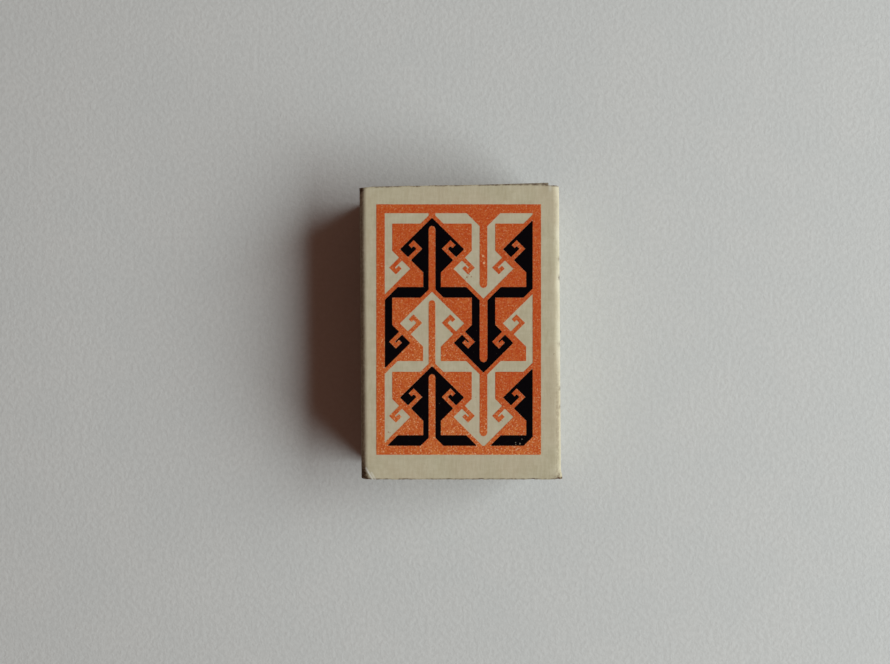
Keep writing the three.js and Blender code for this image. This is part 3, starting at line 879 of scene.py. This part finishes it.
def ink_tree():
    """Print: the outline of a field of ink is drawn again with the roughness of a relief plate, filled,
    and given the ink's thickness."""
    tree, given = new_tree(
        "letterpress_field",
        {
            "Edge Step": "NodeSocketFloat",
            "Edge Roughness": "NodeSocketFloat",
            "Edge Grain": "NodeSocketFloat",
            "Ink Squeeze": "NodeSocketFloat",
            "Ink Thickness": "NodeSocketFloat",
            "Ink Bed": "NodeSocketVector",
            "Ink": "NodeSocketMaterial",
        },
    )
    # the top faces of the solid, and the outline round them
    facing = add(tree, "ShaderNodeSeparateXYZ", {0: result(tree, "GeometryNodeInputNormal")})
    not_up = result(tree, "FunctionNodeCompare", {"A": facing.outputs["Z"], "B": 0.5}, operation="LESS_THAN")
    top = result(
        tree,
        "GeometryNodeDeleteGeometry",
        {"Geometry": given["Geometry"], "Selection": not_up},
        domain="FACE",
    )
    neighbours = result(tree, "GeometryNodeInputMeshEdgeNeighbors")
    on_edge = result(
        tree, "FunctionNodeCompare", {"A_INT": neighbours, "B_INT": 1}, data_type="INT", operation="EQUAL"
    )
    outline = result(tree, "GeometryNodeMeshToCurve", {"Mesh": top, "Selection": on_edge})
    fine = result(
        tree, "GeometryNodeResampleCurve", {"Curve": outline, "Length": given["Edge Step"]}, mode="LENGTH"
    )
    level = result(tree, "GeometryNodeSetCurveNormal", {"Curve": fine}, mode="Z_UP")
    # which side of the outline is ink: a ray dropped just beside it hits the field there or misses
    sideways = result(tree, "GeometryNodeInputNormal")
    probe = vectors(tree, "SCALE", sideways, INK_PROBE * MM)
    beside = vectors(tree, "ADD", result(tree, "GeometryNodeInputPosition"), probe)
    inside = add(
        tree,
        "GeometryNodeRaycast",
        {
            "Target Geometry": top,
            "Source Position": vectors(tree, "ADD", beside, (0, 0, MM)),
            "Ray Direction": (0, 0, -1),
            "Ray Length": 2 * MM,
        },
    )
    outward = result(
        tree, "ShaderNodeMath", {0: inside.outputs["Is Hit"], 1: -2.0, 2: 1.0}, operation="MULTIPLY_ADD"
    )
    squeeze = vectors(tree, "SCALE", sideways, times(tree, outward, given["Ink Squeeze"]))
    squeezed = result(tree, "GeometryNodeSetPosition", {"Geometry": level, "Offset": squeeze})
    rough = roughen(tree, squeezed, given["Edge Grain"], given["Edge Roughness"])
    # the field, filled, laid on the card and raised
    filled = result(tree, "GeometryNodeFillCurve", {"Curve": rough}, mode="TRIANGLES")
    bedded = result(tree, "GeometryNodeSetPosition", {"Geometry": filled, "Offset": given["Ink Bed"]})
    raised = result(
        tree,
        "GeometryNodeExtrudeMesh",
        {"Mesh": bedded, "Offset": (0, 0, 1), "Offset Scale": given["Ink Thickness"], "Individual": False},
        mode="FACES",
    )
    both = add(tree, "GeometryNodeJoinGeometry", {0: raised})
    tree.links.new(result(tree, "GeometryNodeFlipFaces", {0: bedded}), both.inputs[0])
    merged = result(tree, "GeometryNodeMergeByDistance", {"Geometry": both.outputs[0], "Distance": 1e-7})
    real = result(tree, "GeometryNodeRealizeInstances", {0: merged})
    inked = result(tree, "GeometryNodeSetMaterial", {"Geometry": real, "Material": given["Ink"]})
    add(tree, "NodeGroupOutput", {0: inked})
    return tree


def outlines_of(name, nodes):
    """A merged copy of some of the frame's solids, as a new piece."""
    mesh = bpy.data.meshes.new(name)
    weld(mesh, 0.0005, *(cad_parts[node].data for node in nodes))
    return object_of(mesh)


def pull_print(name, nodes, tree, material, shift, squeeze, thickness):
    """Prints one plate: its fields lie on the card."""
    piece = outlines_of(name, nodes)
    grow(
        piece,
        tree,
        {
            "Edge Step": INK_EDGE_STEP * MM,
            "Edge Roughness": INK_EDGE_ROUGHNESS * MM,
            "Edge Grain": INK_EDGE_GRAIN * MM,
            "Ink Squeeze": squeeze * MM,
            "Ink Thickness": thickness * MM,
            "Ink Bed": (shift * MM, 0.0, SLEEVE_HEIGHT * MM),
            "Ink": material,
        },
    )
    piece.data.shade_flat()
    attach(piece, "sleeve")
    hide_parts(*nodes)
    return piece


def ring_of(shell, outline, y):
    """A ring of points at a place along a match, from their places across it in millimetres."""
    return [shell.verts.new((x * MM, y * MM, z * MM)) for x, z in outline]


def match_source(splint_wood, head_mix, length):
    """One match along Y, the middle of its head at the origin: a square splint with worn edges and a
    dipped head drawn down along the splint."""
    shell = bmesh.new()
    half = SPLINT / 2
    flat = half - SPLINT_WORN_EDGE
    profile = []
    for sx, sz in ((1, 1), (-1, 1), (-1, -1), (1, -1)):
        ends = [(sx * half, sz * flat), (sx * flat, sz * half)]
        profile.extend(ends if sx * sz > 0 else ends[::-1])
    rings = []
    for y in np.linspace(-length, -0.3, 26):
        share = SPLINT_TAIL_SHARE if not rings else 1
        rings.append(ring_of(shell, [(x * share, z * share) for x, z in profile], y))
    skin_rings(shell, rings)
    splint_faces = len(shell.faces)
    head_rings = []
    for along, out in HEAD_OUTLINE:
        radius = out * HEAD_WIDTH / 2
        angles = [2 * math.pi * k / HEAD_SIDES for k in range(HEAD_SIDES)]
        circle = [(radius * math.cos(a), radius * math.sin(a)) for a in angles]
        head_rings.append(ring_of(shell, circle, along * (HEAD_LENGTH / 2))[::-1])
    skin_rings(shell, head_rings)
    for face in list(shell.faces)[splint_faces:]:
        face.material_index = 1
    bmesh.ops.recalc_face_normals(shell, faces=shell.faces)
    mesh = bpy.data.meshes.new("match_source")
    shell.to_mesh(mesh)
    shell.free()
    mesh.materials.append(splint_wood)
    mesh.materials.append(head_mix)
    return object_of(mesh)


def skin_rings(shell, rings):
    """Skins a row of equal rings and closes both ends."""
    count = len(rings[0])
    for here, there in zip(rings[:-1], rings[1:]):
        for k in range(count):
            after = (k + 1) % count
            shell.faces.new((here[k], here[after], there[after], there[k]))
    for ring in (rings[0], rings[-1]):
        middle = shell.verts.new(sum((v.co for v in ring), Vector()) / count)
        for k in range(count):
            shell.faces.new((ring[k], ring[(k + 1) % count], middle))


def match_tree():
    """Matches: one match set at each point, turned as that point says, then each made uneven by a
    noise that differs from place to place."""
    tree, given = new_tree(
        "matches_in_tray",
        {
            "Match": "NodeSocketObject",
            "Lump Height": "NodeSocketFloat",
            "Lump Width": "NodeSocketFloat",
            "Seed": "NodeSocketInt",
        },
    )
    source = add(tree, "GeometryNodeObjectInfo", {"Object": given["Match"]}, transform_space="ORIGINAL")
    yaw = result(tree, "GeometryNodeInputNamedAttribute", {"Name": "yaw"}, data_type="FLOAT")
    turn = result(tree, "ShaderNodeCombineXYZ", {"Z": yaw})
    laid = result(
        tree,
        "GeometryNodeInstanceOnPoints",
        {"Points": given["Geometry"], "Instance": source.outputs["Geometry"], "Rotation": turn},
    )
    span = {"Min_001": 0.0, "Max_001": 1.0, "Seed": given["Seed"]}
    tone = add(tree, "FunctionNodeRandomValue", span, data_type="FLOAT")
    toned = result(
        tree,
        "GeometryNodeStoreNamedAttribute",
        {"Geometry": laid, "Name": "shade", "Value": tone.outputs[1]},
        data_type="FLOAT",
        domain="INSTANCE",
    )
    real = result(tree, "GeometryNodeRealizeInstances", {0: toned})
    uneven = roughen(tree, real, given["Lump Width"], given["Lump Height"])
    add(tree, "NodeGroupOutput", {0: uneven})
    return tree


def lay_matches(splint_wood, head_mix):
    """The matches lie where the frame's own matches lie, each with its own turn."""
    names = sorted(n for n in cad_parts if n.startswith("match_"))
    places, yaws = [], []
    length = 0.0
    for name in names:
        points = points_of(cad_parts[name].data)
        tail = points[points[:, 1] < points[:, 1].min() + 0.5].mean(0)
        tip = points[points[:, 1].argmax()]
        run = tip - tail
        full = np.linalg.norm(run)
        length = full - HEAD_LENGTH / 2
        places.append(tip - run / full * HEAD_LENGTH / 2)
        yaws.append(math.atan2(-run[0], run[1]))
    piece = sheet_object("matches", np.array(places), [], [], {"yaw": yaws})
    source = match_source(splint_wood, head_mix, length)
    sizes = {"Lump Height": LUMP_HEIGHT * MM, "Lump Width": LUMP_WIDTH * MM}
    grow(piece, match_tree(), {"Match": source, "Seed": SHADE_SEED, **sizes})
    bpy.data.objects.remove(source)
    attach(piece, "tray")
    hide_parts(*names)
    return piece


def wear_print(piece):
    """Stores where the print has lost more of its ink: the left middle, the lower end, and a little
    unevenly all over."""
    points = points_of(piece.data)
    x, y, _ = points.T
    wear = 0.5 * patch_at(x, y, (-8, -4), (7, 9))
    wear += 0.55 * smooth_step(8, 20, -y)
    wear += 0.25 * waves(points, 6, seed=31)
    store(piece.data, "bared", np.clip(wear, 0, 1))


# The box

card = uncoated_boxboard()
core = board_core()
tray_board = grey_tray_board()
orange = letterpress_ink(
    "orange_letterpress_ink",
    dense="#a63d14",
    thin="#bd6a33",
    bare_share=0.58,
    bare_colour="#cc9a72",
    pinholes=ORANGE_PINHOLES,
    roughness=0.75,
    gloss=0.1,
)
black = letterpress_ink(
    "black_letterpress_ink",
    dense="#040204",
    thin="#080506",
    bare_share=0.735,
    bare_colour="#7c7263",
    pinholes=BLACK_PINHOLES,
    roughness=0.8,
    gloss=0.02,
)

sleeve = fold_sleeve([card, core])
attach(sleeve, "sleeve")
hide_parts("sleeve")

coat = roll_on_coat("striking_coat_rolled", *coat_lengths(), phosphorus_coat())
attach(coat, "sleeve")
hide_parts("striking_coat")

tray = fold_tray(tray_board)
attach(tray, "tray")
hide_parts("tray")

printing = ink_tree()
black_nodes = sorted(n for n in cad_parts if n.startswith("print_black"))
orange_print = pull_print("orange_print", ["print_orange"], printing, orange, 0, ORANGE_SQUEEZE, INK)
black_print = pull_print(
    "black_print", black_nodes, printing, black, BLACK_SHIFT, BLACK_SQUEEZE, INK + BLACK_OVER_ORANGE
)
for piece, slot_name in ((orange_print, "orange_ink"), (black_print, "black_ink")):
    wear_print(piece)

lay_matches(aspen_splint(), match_head())

# Floor, light and camera


def lay_paper():
    """The sheet that the box lies on, much larger than the view."""
    corners = np.array([[x, y, PAPER_LEVEL] for x, y in ((-1, -1), (1, -1), (1, 1), (-1, 1))], float)
    corners[:, :2] *= PAPER_REACH
    paper = sheet_object("paper", corners, [(0, 1, 2, 3)], [drawing_paper()])


def soft_window(name, azimuth, elevation, distance, width, height, watts, colour):
    """A large soft light that faces the box, its place given in degrees and millimetres."""
    lamp = bpy.data.lights.new(name, "AREA")
    lamp.shape = "RECTANGLE"
    lamp.size = width * MM
    lamp.size_y = height * MM
    lamp.energy = watts
    lamp.color = linear(colour)[:3]
    holder = object_of(lamp)
    turn, rise = math.radians(azimuth), math.radians(elevation)
    towards = Vector((math.cos(turn) * math.cos(rise), math.sin(turn) * math.cos(rise), math.sin(rise)))
    holder.location = towards * distance * MM
    holder.rotation_euler = towards.to_track_quat("Z", "Y").to_euler()


def room_light(fill, strength, backdrop):
    """Dim warm light from the room. Cameras and reflections see the pale backdrop instead."""
    world = bpy.data.worlds.new("room")
    world.use_nodes = True
    tree = world.node_tree
    tree.nodes.clear()
    room = result(tree, "ShaderNodeBackground", {"Color": linear(fill), "Strength": strength})
    pale = result(tree, "ShaderNodeBackground", {"Color": linear(backdrop), "Strength": 1.0})
    ray = add(tree, "ShaderNodeLightPath").outputs
    seen = calculate(tree, "MAXIMUM", ray["Is Camera Ray"], ray["Is Glossy Ray"])
    seen = calculate(tree, "MAXIMUM", seen, ray["Is Transmission Ray"])
    mix = result(tree, "ShaderNodeMixShader", {0: seen, 1: room, 2: pale})
    add(tree, "ShaderNodeOutputWorld", {"Surface": mix})
    bpy.context.scene.world = world


def stand_camera():
    """The camera looks straight down, as an object does that isn't turned."""
    lens = bpy.data.cameras.new("camera")
    lens.lens = CAMERA_LENS
    lens.sensor_width = CAMERA_SENSOR
    lens.clip_start = 5 * MM
    camera = object_of(lens)
    camera.location = (CAMERA_X * MM, CAMERA_Y * MM, CAMERA_HEIGHT * MM)
    bpy.context.scene.camera = camera


lay_paper()
soft_window(
    "window", azimuth=-6, elevation=33.5, distance=1000, width=1300, height=650, watts=22.2, colour="#f3feff"
)
room_light(fill="#735245", strength=0.82, backdrop="#b8b8b7")
stand_camera()
bpy.context.scene.view_settings.view_transform = "Standard"
